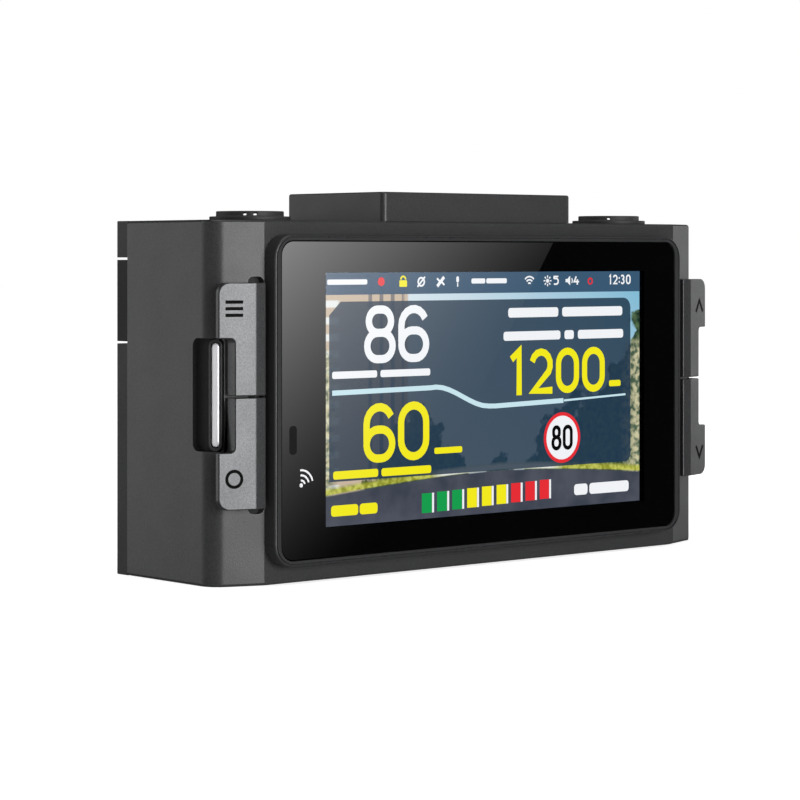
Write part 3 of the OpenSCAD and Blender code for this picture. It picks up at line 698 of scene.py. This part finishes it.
def scenery():
    """The street behind the readings: sky, a tall building, trees, a verge and a road."""
    g = Graph("scenery")
    parts = g.node("ShaderNodeSeparateXYZ", Vector=g.place)
    u = g.remap(parts.outputs["X"], SCREEN_X0 * MM, SCREEN_X1 * MM, 0.0, 1.0)
    v = g.remap(parts.outputs["Z"], SCREEN_Z0 * MM, SCREEN_Z1 * MM, 0.0, 1.0)
    leaves, clumps = g.noise(0.9, 4), g.noise(5.0, 4)

    def step(value, low, high):
        return g.remap(value, low, high, 0.0, 1.0)

    sky = g.blend(step(u, 0.25, 1.0), (0.72, 0.83, 0.90), (0.25, 0.55, 0.74))
    sky = g.blend(g.math("MULTIPLY", step(v, 0.9, 0.2), 0.5), sky, (0.80, 0.84, 0.88))
    stripe = step(g.math("SINE", g.math("MULTIPLY", u, 190.0)), 0.35, 0.6)
    near_stripes = g.math("MULTIPLY", step(u, 0.125, 0.14), step(u, 0.245, 0.235))
    wall = g.blend(g.math("MULTIPLY", stripe, near_stripes), (0.62, 0.50, 0.38), (0.22, 0.20, 0.20))
    floors = step(g.math("SINE", g.math("MULTIPLY", v, 95.0)), 0.0, 0.5)
    wall = g.blend(g.math("MULTIPLY", floors, step(u, 0.055, 0.045)), wall, (0.85, 0.88, 0.86))
    tone = g.blend(step(u, 0.255, 0.25), sky, wall)

    centre = g.math("ABSOLUTE", g.math("SUBTRACT", u, 0.53))
    ragged = g.math("MULTIPLY", g.math("SUBTRACT", clumps, 0.5), 0.5)
    tree_top = g.math("ADD", g.remap(centre, 0.06, 0.30, 0.20, 0.52), ragged)
    tree_top = g.math("ADD", tree_top, g.remap(u, 0.86, 1.0, 0.0, 0.3))
    tree_top = g.math("SUBTRACT", tree_top, g.remap(u, 0.27, 0.10, 0.0, 0.42))
    in_tree = step(g.math("SUBTRACT", tree_top, v), 0.0, 0.02)
    green = g.blend(step(leaves, 0.35, 0.65), (0.010, 0.030, 0.022), (0.10, 0.17, 0.08))
    tone = g.blend(in_tree, tone, green)
    side = g.math("MAXIMUM", step(u, 0.93, 0.99), step(u, 0.05, 0.02))
    pale_leaf = g.blend(step(leaves, 0.4, 0.6), (0.10, 0.16, 0.10), (0.75, 0.70, 0.45))
    tone = g.blend(g.math("MULTIPLY", side, g.math("MULTIPLY", step(v, 0.72, 0.66), 0.85)), tone, pale_leaf)

    road_edge = g.math("SUBTRACT", 0.175, g.math("MULTIPLY", g.math("POWER", centre, 1.5), 0.15))
    over_edge = g.math("SUBTRACT", v, road_edge)
    verge = g.math("MULTIPLY", step(over_edge, 0.035, 0.02), step(over_edge, 0.0, 0.006))
    tone = g.blend(verge, tone, g.blend(step(leaves, 0.4, 0.6), (0.30, 0.32, 0.03), (0.60, 0.62, 0.12)))
    kerb = g.math("MULTIPLY", step(centre, 0.21, 0.17), verge)
    tone = g.blend(kerb, tone, (0.86, 0.88, 0.82))
    asphalt = g.blend(step(clumps, 0.35, 0.65), (0.050, 0.060, 0.085), (0.085, 0.095, 0.125))
    tone = g.blend(step(over_edge, 0.004, -0.004), tone, asphalt)
    return glowing(g, tone, SCENE_STRENGTH)


PANEL_Y = PANEL_LOW.y
WHITE = lit("lit_white", (0.95, 0.97, 1.0))
YELLOW = lit("lit_yellow", (0.96, 0.88, 0.015))
GREEN = lit("lit_green", (0.01, 0.36, 0.08))
RED = lit("lit_red", (0.85, 0.03, 0.04))
BLACK = lit("lit_black", (0.004, 0.004, 0.004))
LINE = lit("lit_line", (0.62, 0.84, 0.92))
VEIL = lit("lit_veil", (0.018, 0.046, 0.085), alpha=0.74)
VEIL_TOP = lit("lit_veil_top", (0.040, 0.095, 0.17), alpha=0.85)


def on_screen(name, material, layer):
    """Marks on the picture: a higher layer lies nearer to the glass."""
    back = PANEL_Y - 0.02 - 0.06 * layer
    return Ink(name, material, back - 0.03, back)


def text_bars(ink, u0, v0, u1, v1, words):
    """Plain bars where a line of words would be; words are the bars' shares of the width."""
    gap = 0.035 * (u1 - u0)
    free = u1 - u0 - gap * (len(words) - 1)
    low, high = v0 + 0.27 * (v1 - v0), v1 - 0.27 * (v1 - v0)
    start = u0
    for share in words:
        width = free * share / sum(words)
        ink.bar(*at(start, low), *at(start + width, high), 0.3)
        start += width + gap


# The level bar at the foot of the picture, in fractions of its width and height
LEVELS = 9
LEVEL_U, LEVEL_V = 0.292, 0.023
LEVEL_STEP_U, LEVEL_STEP_V = 0.0462, 0.0023
LEVEL_H = 0.08
SIGN_R, SIGN_RIM = 3.75, 0.55
SIGN_FIGURE_W, SIGN_FIGURE_H, SIGN_STROKE = 2.2, 4.0, 0.62


def status_icons(white, yellow, red):
    """The small signs in the bar along the top of the picture, from left to right."""
    # Dot
    x, z = at(0.171, 0.963)
    red.ring(x, z, 0.33, 0.66, count=8)
    # Padlock
    x, z = at(0.236, 0.956)
    yellow.bar(x - 0.75, z - 0.55, x + 0.75, z + 0.45, 0.15)
    yellow.ring(x, z + 0.55, 0.48, 0.26, 0, 180, 10)
    # Struck ring
    x, z = at(0.290, 0.961)
    white.ring(x, z, 0.62, 0.28, count=14)
    white.ribbon([(x - 0.75, z - 0.75), (x + 0.75, z + 0.75)], 0.26)
    # Satellite
    x, z = at(0.349, 0.961)
    white.ribbon([(x - 0.7, z - 0.7), (x + 0.7, z + 0.7)], 0.5)
    white.ribbon([(x - 0.75, z + 0.5), (x - 0.2, z + 0.05)], 0.3)
    white.ribbon([(x + 0.2, z - 0.05), (x + 0.75, z - 0.5)], 0.3)
    # Sensor
    x, z = at(0.401, 0.961)
    white.bar(x - 0.26, z - 0.15, x + 0.26, z + 0.8, 0.5)
    white.ribbon([(x, z - 0.2), (x, z - 0.8)], 0.2)
    # Waves
    x, z = at(0.628, 0.943)
    for r in (0.35, 0.85, 1.35):
        white.ring(x, z, r, 0.24, 45, 135, 8)
    # Sun
    x, z = at(0.687, 0.961)
    white.ring(x, z, 0.16, 0.32, count=10)
    for k in range(8):
        a = math.radians(45 * k)
        white.ribbon([(x + 0.5 * math.cos(a), z + 0.5 * math.sin(a)),
                      (x + 0.85 * math.cos(a), z + 0.85 * math.sin(a))], 0.2)
    # Loudspeaker
    x, z = at(0.757, 0.961)
    white.fill([(x - 0.7, z - 0.25), (x - 0.3, z - 0.25), (x + 0.3, z - 0.75), (x + 0.3, z + 0.75),
                (x - 0.3, z + 0.25), (x - 0.7, z + 0.25)])
    white.ring(x + 0.35, z, 0.45, 0.18, -50, 50, 6)
    # Ring
    x, z = at(0.829, 0.958)
    red.ring(x, z, 0.45, 0.24, count=16)


def make_picture():
    """The lit picture: scene, dark veils, dividing line, readings, level bar and speed sign."""
    ground = on_screen("picture_scene", scenery(), 0)
    ground.bar(SCREEN_X0, SCREEN_Z0, SCREEN_X1, SCREEN_Z1, 0)
    ground.make()

    top = on_screen("picture_status_bar", VEIL_TOP, 1)
    top.bar(*at(0, 0.912), *at(1, 1), 0)
    top.make()
    veil = on_screen("picture_veil", VEIL, 1)
    low_v, high_v = 0.175, 0.885
    x0, z0 = at(0.022, low_v)
    x1, z1 = at(0.968, high_v)
    veil.fill([(x0, z0), (x1 - 1.2, z0)] + arc(x1 - 1.2, z0 + 1.2, 1.2, 270, 360, 4)
              + arc(x1 - 1.6, z1 - 1.6, 1.6, 0, 90, 5) + [(x0 + 2.2, z1), (x0, z1 - 2.0)])
    veil.make()

    line = on_screen("picture_divider", LINE, 2)
    curve = [at(0.03, 0.525), at(0.32, 0.530)]
    for i in range(9):
        t = i / 8
        ease = t * t * (3 - 2 * t)
        curve.append(at(0.335 + 0.165 * t, 0.532 - 0.088 * ease))
    line.ribbon(curve + [at(0.52, 0.443), at(0.74, 0.452)], 0.75)
    line.ribbon([at(0.742, 0.452), at(0.95, 0.466)], 0.32)
    line.make()

    white = on_screen("picture_white", WHITE, 3)
    yellow = on_screen("picture_yellow", YELLOW, 3)
    green = on_screen("picture_green", GREEN, 3)
    red = on_screen("picture_red", RED, 3)

    def figures(ink, text, u0, v0, u1, v1, stroke, share=0.88, narrow=0.62):
        """Figures side by side in a box. Each fills a share of its cell, and a 1 has a narrow cell."""
        xa, za = at(u0, v0)
        xb, zb = at(u1, v1)
        widths = [narrow if c == "1" else 0.25 if c == ":" else 1.0 for c in text]
        cell = (xb - xa) / (sum(widths) - (1 - share))
        for c, width in zip(text, widths):
            if c == ":":
                for level in (0.25, 0.65):
                    dot = za + (zb - za) * level
                    ink.bar(xa, dot - stroke / 2, xa + stroke, dot + stroke / 2, 0)
            else:
                digit(ink, c, xa, za, cell * (width - 1 + share), zb - za, stroke)
            xa += cell * width

    figures(white, "86", 0.121, 0.637, 0.314, 0.868, 1.22, 0.92)
    figures(yellow, "60", 0.119, 0.240, 0.314, 0.478, 1.22, 0.92)
    figures(yellow, "1200", 0.560, 0.483, 0.878, 0.676, 1.12, 0.88, 0.78)
    figures(white, "12:30", 0.892, 0.943, 0.967, 0.985, 0.26, 0.8, 0.7)
    figures(white, "5", 0.706, 0.943, 0.724, 0.982, 0.26)
    figures(white, "4", 0.773, 0.943, 0.791, 0.982, 0.26)
    text_bars(white, 0.029, 0.564, 0.317, 0.626, (7, 8))
    text_bars(yellow, 0.032, 0.165, 0.32, 0.235, (7, 8))
    text_bars(yellow, 0.330, 0.245, 0.415, 0.300, (1,))
    text_bars(yellow, 0.893, 0.488, 0.932, 0.545, (1,))
    text_bars(white, 0.560, 0.785, 0.938, 0.872, (4, 5))
    text_bars(white, 0.545, 0.690, 0.941, 0.772, (6, 1, 5))
    text_bars(yellow, 0.026, 0.013, 0.16, 0.107, (3, 2))
    text_bars(white, 0.775, 0.018, 0.960, 0.120, (1, 3))
    text_bars(white, 0.015, 0.940, 0.130, 0.985, (1,))
    text_bars(white, 0.444, 0.940, 0.555, 0.985, (2, 3))

    for i in range(LEVELS):
        u, v = LEVEL_U + i * LEVEL_STEP_U, LEVEL_V + i * LEVEL_STEP_V
        ink = (green, yellow, red)[3 * i // LEVELS]
        ink.bar(*at(u, v), *at(u + 0.030, v + LEVEL_H), 0)
        white.bar(*at(u + 0.031, v), *at(u + 0.0365, v + LEVEL_H), 0)

    status_icons(white, yellow, red)

    x, z = at(0.735, 0.295)
    sign = on_screen("picture_sign", WHITE, 2)
    sign.fill(arc(x, z, SIGN_R - 0.05, 0, 360, 40)[:-1])
    sign.make()
    red.ring(x, z, SIGN_R, SIGN_RIM, count=40)
    black = on_screen("picture_black", BLACK, 3)
    for figure, left in (("8", x - 2.35), ("0", x + 0.15)):
        digit(black, figure, left, z - SIGN_FIGURE_H / 2, SIGN_FIGURE_W, SIGN_FIGURE_H, SIGN_STROKE)
    for ink in (white, yellow, green, red, black):
        ink.make()


# ---- Glass ----

GLASS_R = 2.17
GLASS_IOR = 1.5
PANE_T = 0.72
PANE_CHAMFER = 0.12
PANE_BLACK = (0.0010, 0.0010, 0.0012)
PANE_DUSTY = (0.004, 0.004, 0.004)


def window_mask(g, where):
    """1 over the lit screen area and 0 over the black border."""
    parts = g.node("ShaderNodeSeparateXYZ", Vector=where)
    mask = 1.0
    for axis, low, high in (("X", SCREEN_X0, SCREEN_X1), ("Z", SCREEN_Z0, SCREEN_Z1)):
        for edge, way in ((low, 1), (high, -1)):
            side = g.math("MULTIPLY", g.math("SUBTRACT", parts.outputs[axis], edge * MM), way / MM)
            inside = g.remap(side, -0.03, 0.03, 0.0, 1.0)
            mask = g.math("MULTIPLY", inside, mask)
    return mask


def glass_pane():
    """Mirror-smooth glass that is clear over the screen and black, with a little dust, over its border."""
    g = Graph("pane")
    dust = g.remap(g.noise(0.5, 5), 0.60, 0.75, 0.0, 1.0)
    gloss = g.node("ShaderNodeBsdfGlossy")
    gloss.inputs["Roughness"].default_value = 0.0
    gloss.inputs["Color"].default_value = (1, 1, 1, 1)
    clear = g.node("ShaderNodeBsdfTransparent")
    black = g.blend(g.math("MULTIPLY", dust, 0.3), PANE_BLACK, PANE_DUSTY)
    dark = g.node("ShaderNodeBsdfDiffuse", Color=black)
    under = g.node("ShaderNodeMixShader", Fac=window_mask(g, g.place))
    g.feed(under.inputs[1], dark.outputs[0])
    g.feed(under.inputs[2], clear.outputs[0])
    fresnel = g.node("ShaderNodeFresnel")
    fresnel.inputs["IOR"].default_value = GLASS_IOR
    depth = g.node("ShaderNodeSeparateXYZ", Vector=g.place).outputs["Y"]
    front = g.math("LESS_THAN", depth, (GLASS_Y + PANE_T / 2) * MM)
    share = g.math("MULTIPLY", fresnel.outputs[0], front)
    mix = g.node("ShaderNodeMixShader", Fac=share)
    g.feed(mix.inputs[1], under.outputs[0])
    g.feed(mix.inputs[2], gloss.outputs[0])
    return g.finish(mix.outputs[0])


# Face of a cap beyond its fold in mm and degrees, where its mark stands along it, and how thick the ink is
CAP_ANGLE = 17.4
CAP_FACE = 5.7
CAP_MARK_A = 3.35
CAP_INK = 0.012
# Each cap's side, body and height of its mark
CAP_MARKS = {
    "menu_button": (-1, "menu", 40.2),
    "ok_button": (-1, "ok", 15.75),
    "up_button": (1, "up", 39.4),
    "down_button": (1, "down", 15.15),
}


def cap_axes(side, node):
    """Axes on a cap's sloping face: a runs outwards from the fold, b is the height, depth is off the face."""
    low, high = span(node)
    outer = max(abs(low.x), abs(high.x))
    angle = math.radians(CAP_ANGLE)

    def frame(a, b, depth):
        x = outer - CAP_FACE * math.cos(angle) + a * math.cos(angle) + depth * math.sin(angle)
        y = low.y + a * math.sin(angle) - depth * math.cos(angle)
        return side * x, y, b
    return frame


def make_cap_marks():
    """Three bars, a ring, and arrows up and down, one mark on each cap."""
    dark = moulded("mark_black", (0.003, 0.003, 0.003), 0.6, speckle=0.1, wear=0.0, specular=0.05)
    for node, (side, body, z) in CAP_MARKS.items():
        mark = Ink(f"{node}_mark", dark, CAP_INK, 0.0, cap_axes(side, node))
        a = CAP_MARK_A
        if body == "menu":
            for level in (-0.95, 0.0, 0.95):
                mark.bar(a - 1.35, z + level - 0.24, a + 1.35, z + level + 0.24, 0.12)
        elif body == "ok":
            mark.ring(a, z, 1.15, 0.46, count=28)
        else:
            way = 1 if body == "up" else -1
            mark.ribbon([(a - 1.3, z - 0.95 * way), (a, z + 0.95 * way), (a + 1.3, z - 0.95 * way)], 0.55)
        mark.make(body, SLOT_OF[node])


SENSOR_LOW, SENSOR_HIGH = span("gesture_sensor")
# Centre of the printed waves, the radii and width of their lines, and how proud the print stands
WAVE_X, WAVE_Z = -38.0, 14.4
WAVE_RADII, WAVE_LINE = (0.7, 1.45, 2.2), 0.28
PRINT_PROUD, PRINT_ROOT = 0.01, 0.005


def make_glass():
    """The pane, with the waves printed on it and the dark slot of the sensor behind it."""
    pane = plate("glass_pane", (GLASS_LOW.x, GLASS_LOW.z, GLASS_HIGH.x, GLASS_HIGH.z), GLASS_R,
                 GLASS_Y, GLASS_Y + PANE_T, PANE_CHAMFER, glass_pane())
    dress(pane, "cover_glass")
    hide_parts("cover_glass")

    print_white = moulded("print_white", (0.62, 0.62, 0.64), 0.5, speckle=0.05, wear=0.0)
    wave = Ink("wave_mark", print_white, GLASS_Y - PRINT_PROUD, GLASS_Y + PRINT_ROOT)
    for r in WAVE_RADII:
        wave.ring(WAVE_X, WAVE_Z, r, WAVE_LINE, 15, 95, 10)
    wave.ring(WAVE_X, WAVE_Z, 0.15, 0.3, count=10)
    wave.make("case", "cover_glass")
    slot = Ink("sensor_mark", FINISH["sensor_slot"], GLASS_Y - 0.8 * PRINT_PROUD, GLASS_Y + PRINT_ROOT)
    slot.bar(SENSOR_LOW.x, SENSOR_LOW.z, SENSOR_HIGH.x, SENSOR_HIGH.z, 0.4)
    slot.make("case", "cover_glass")


# ---- Shells ----

COVER_HIGH = span("rear_cover")[1]
DOCK_HIGH = span("dock_block")[1]
# The holes in the body's top and underside all lie this far inside its outline.
HOLE_INSET_X, HOLE_INSET_Y = 6.0, 1.5


def at_z(z):
    """Tests for edges that lie at one height."""
    return lambda a, b: near(a.z, z) and near(b.z, z)


def at_y(y):
    """Tests for edges that lie at one depth."""
    return lambda a, b: near(a.y, y) and near(b.y, y)


def outline_edge(z):
    """Tests for the outer edge loop of the body at one height, leaving out the holes in that face."""
    side, back = HOUSING_HIGH.x - HOLE_INSET_X, HOUSING_HIGH.y - HOLE_INSET_Y
    front = HOUSING_LOW.y + HOLE_INSET_Y

    def in_hole(p):
        return abs(p.x) < side and front < p.y < back
    return lambda a, b: at_z(z)(a, b) and not (in_hole(a) or in_hole(b))


# The bezel's corners, its rounded lip with a groove behind it, and the sleeve round the panel
BEZEL_R = 3.5
GLASS_GAP = 0.08
PANEL_GAP = 0.1
LIP_ROUND = 0.3
LIP_STEPS = 4
LIP_BREAK = 0.08
GROOVE_W = 0.16
GROOVE_DEPTH = 0.22
GROOVE_SLOPE = 0.02
SLEEVE_T = 1.2
SLEEVE_R = 1.0
OPENING_R = 0.2
BEZEL_SINK = 0.05


def make_bezel():
    """The bezel as a ring swept round the glass: side, rounded lip, seat, and the sleeve behind it."""
    def loop(low, high, inset, radius, y):
        return [(x * MM, y * MM, z * MM) for x, z in
                round_rect(low[0] + inset, low[1] + inset, high[0] - inset, high[1] - inset, radius, 8)]

    def around(low, high, gap):
        return (low.x - gap, low.z - gap), (high.x + gap, high.z + gap)

    outer = around(BEZEL_LOW, BEZEL_HIGH, 0.0)
    seat = around(GLASS_LOW, GLASS_HIGH, GLASS_GAP)
    opening = around(PANEL_LOW, PANEL_HIGH, PANEL_GAP)
    front, back = BEZEL_LOW.y, FRONT_Y - BEZEL_SINK
    loops = [loop(*outer, 0, BEZEL_R, back)]
    for step in range(LIP_STEPS + 1):
        turn = math.radians(90 * step / LIP_STEPS)
        inset = LIP_ROUND * (1 - math.cos(turn))
        loops.append(loop(*outer, inset, BEZEL_R - inset, front + LIP_ROUND * (1 - math.sin(turn))))
    groove_end = GROOVE_W + GROOVE_SLOPE
    for inset, sink in ((GROOVE_SLOPE, GROOVE_DEPTH), (GROOVE_W, GROOVE_DEPTH), (groove_end, 0.0)):
        inset += LIP_ROUND
        loops.append(loop(*outer, inset, BEZEL_R - inset, front + sink))
    loops += [
        loop(*seat, -LIP_BREAK, GLASS_R + LIP_BREAK, front),
        loop(*seat, 0, GLASS_R, front + LIP_BREAK),
        loop(*seat, 0, GLASS_R, GLASS_HIGH.y),
        loop(*opening, 0, OPENING_R, GLASS_HIGH.y),
        loop(*opening, 0, OPENING_R, BEZEL_HIGH.y),
        loop(*opening, -SLEEVE_T, SLEEVE_R, BEZEL_HIGH.y),
        loop(*opening, -SLEEVE_T, SLEEVE_R, back),
    ]
    count = len(loops[0])
    faces = []
    for k in range(len(loops)):
        one, two = k * count, (k + 1) % len(loops) * count
        faces += [(one + i, one + (i + 1) % count, two + (i + 1) % count, two + i) for i in range(count)]
    verts = [point for points in loops for point in points]
    piece = mesh_object("bezel_frame", verts, faces, FINISH["bezel_plastic"])
    face_outwards(piece)
    shade(piece)
    dress(piece, "display_bezel")
    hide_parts("display_bezel")


# Plan of a front corner, where its facet starts, and the heights of the key's recess in it
CORNER_X, CORNER_R, FACET_X, FACET_ANGLE = 47.5, 3.2, 43.0, 20.0
FACET_TURN = math.radians(FACET_ANGLE)
CORNER_Y = FRONT_Y + (CORNER_X - FACET_X) * math.tan(FACET_TURN) + CORNER_R / math.cos(FACET_TURN)
RECESS_X, RECESS_LOW, RECESS_HIGH = 48.6, 19.4, 36.0
RECESS_SINK, SIDE_SINK = 0.15, 0.1


def paint_recess_shade(piece):
    """Paints shade into the floor and walls of the two key recesses, with a darker, plain material."""
    piece.data.materials.append(FINISH["recess"])
    for face in piece.data.polygons:
        x, y, z = abs(face.center.x) / MM, face.center.y / MM, face.center.z / MM
        in_corner = math.hypot(x - CORNER_X, y - CORNER_Y) < CORNER_R - RECESS_SINK
        in_side = y > CORNER_Y and x < HOUSING_HIGH.x - SIDE_SINK
        if x > RECESS_X and RECESS_LOW < z < RECESS_HIGH and (in_corner or in_side):
            face.material_index = 1


# How wide each shell's rounded edges are, in mm. The rear cover's slanting joints stay crisp.
BODY_ROUND, REAR_ROUND, WINDOW_ROUND, DOCK_ROUND = 0.45, 0.15, 0.2, 0.35
TOP_CAP_ROUND, KEY_ROUND, RIM_ROUND, BUTTON_ROUND = 0.12, 0.3, 0.08, 0.16
REAR_ROUND_FROM = 30


def body_edges(width):
    """The rounding of the body's outline along its top and underside, for round_edges."""
    return [(width, outline_edge(BODY_H)), (width, outline_edge(0.0))]


def make_shells():
    """The outer shells and keys, each in place of its CAD node."""
    paint_recess_shade(rebuilt("front_housing", "housing_shell", body_edges(BODY_ROUND)))
    rebuilt("rear_cover", "rear_shell", body_edges(REAR_ROUND), round_from=REAR_ROUND_FROM)
    make_bezel()
    rebuilt("sensor_window", "window_strip", [(WINDOW_ROUND, at_y(COVER_HIGH.y))])
    rebuilt("dock_block", "dock_shell", [(DOCK_ROUND, at_z(DOCK_HIGH.z))])
    for side in ("left", "right"):
        rebuilt(f"top_cap_{side}", f"round_cap_{side}", default=TOP_CAP_ROUND)
    for key in ("power_key", "record_key"):
        rebuilt(key, f"{key}_bar", default=KEY_ROUND)
        rebuilt(f"{key}_surround", f"{key}_rim", default=RIM_ROUND)
    rebuilt("lens_ring", "lens_trim")
    for cap in CAP_MARKS:
        rebuilt(cap, f"{cap}_cap", default=BUTTON_ROUND)


def finish_frame():
    """Gives each CAD node the finish of its slot. The cover glass is hidden by its pane, so any will do."""
    for node in nodes:
        nodes[node].data.materials.clear()
        nodes[node].data.materials.append(FINISH.get(SLOT_OF[node], FINISH["black_plastic"]))


make_picture()
make_glass()
make_cap_marks()
make_shells()
finish_frame()
